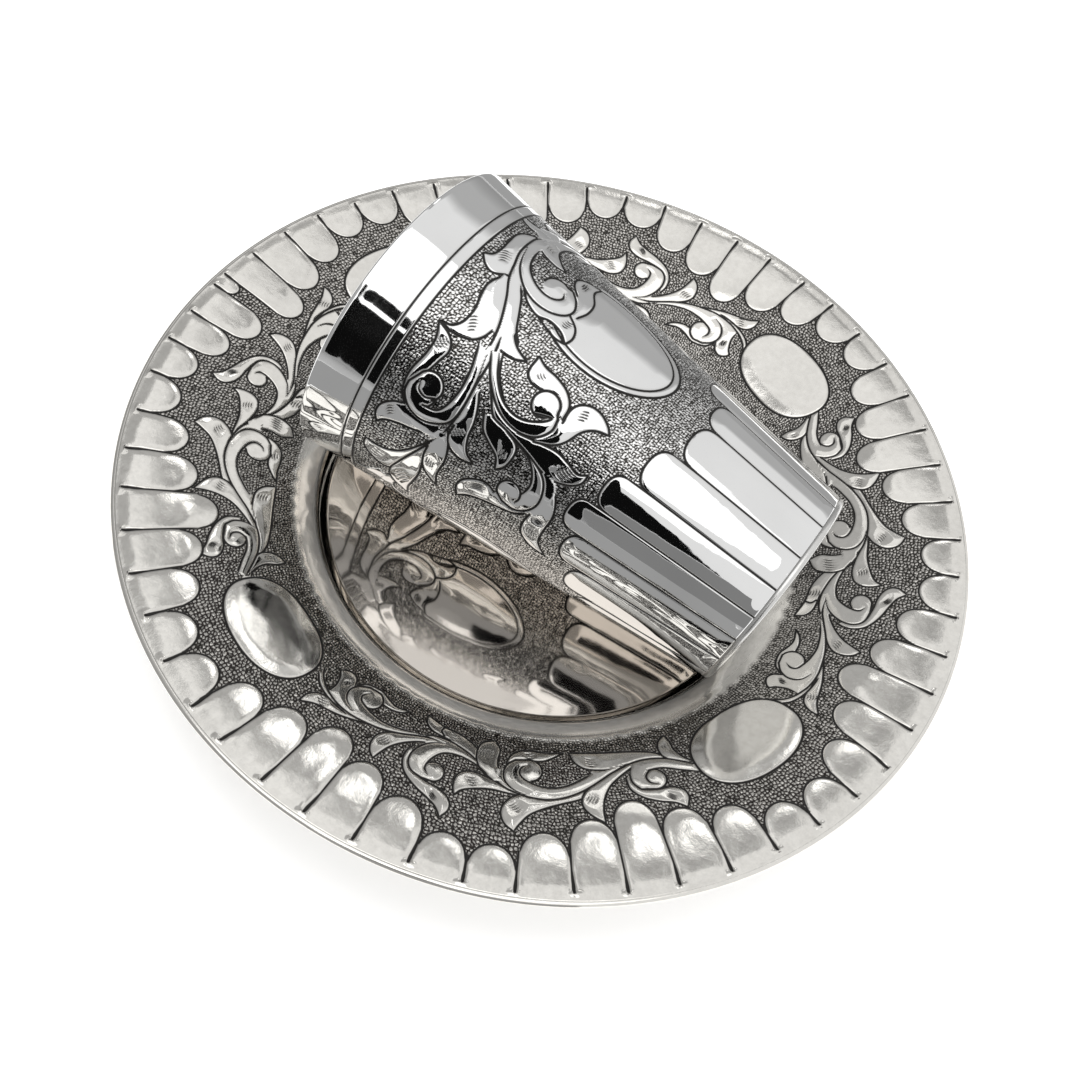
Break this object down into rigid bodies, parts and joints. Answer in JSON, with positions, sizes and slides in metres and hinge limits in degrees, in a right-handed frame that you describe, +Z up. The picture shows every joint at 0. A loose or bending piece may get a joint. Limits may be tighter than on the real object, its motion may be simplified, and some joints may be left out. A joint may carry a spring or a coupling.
{
  "type": "offering plate",
  "caption": "Round silver plate with a domed fluted border and a sunk well, and a matching tapered beaker lying in the well, which lifts off.",
  "frame": {"origin": "on the plate's axis, at the underside of its floor", "axes": "+Z up along the plate's axis; +X from the lying beaker's mouth towards its foot"},
  "size_m": [0.16, 0.16, 0.0594],
  "materials": {
    "chased_silver": "polished silver relief over a dark matted ground",
    "bright_silver": "plain polished silver"
  },
  "bodies": {
    "plate": {"plate_dish": "chased_silver", "rim_wire": "bright_silver"},
    "beaker": {"beaker_wall": "chased_silver", "beaker_base": "bright_silver"}
  },
  "joints": [
    {"name": "beaker_lift", "type": "slide", "parent": "plate", "child": "beaker", "axis": [0, 0, 1], "range_m": [0, 0.08]}
  ]
}
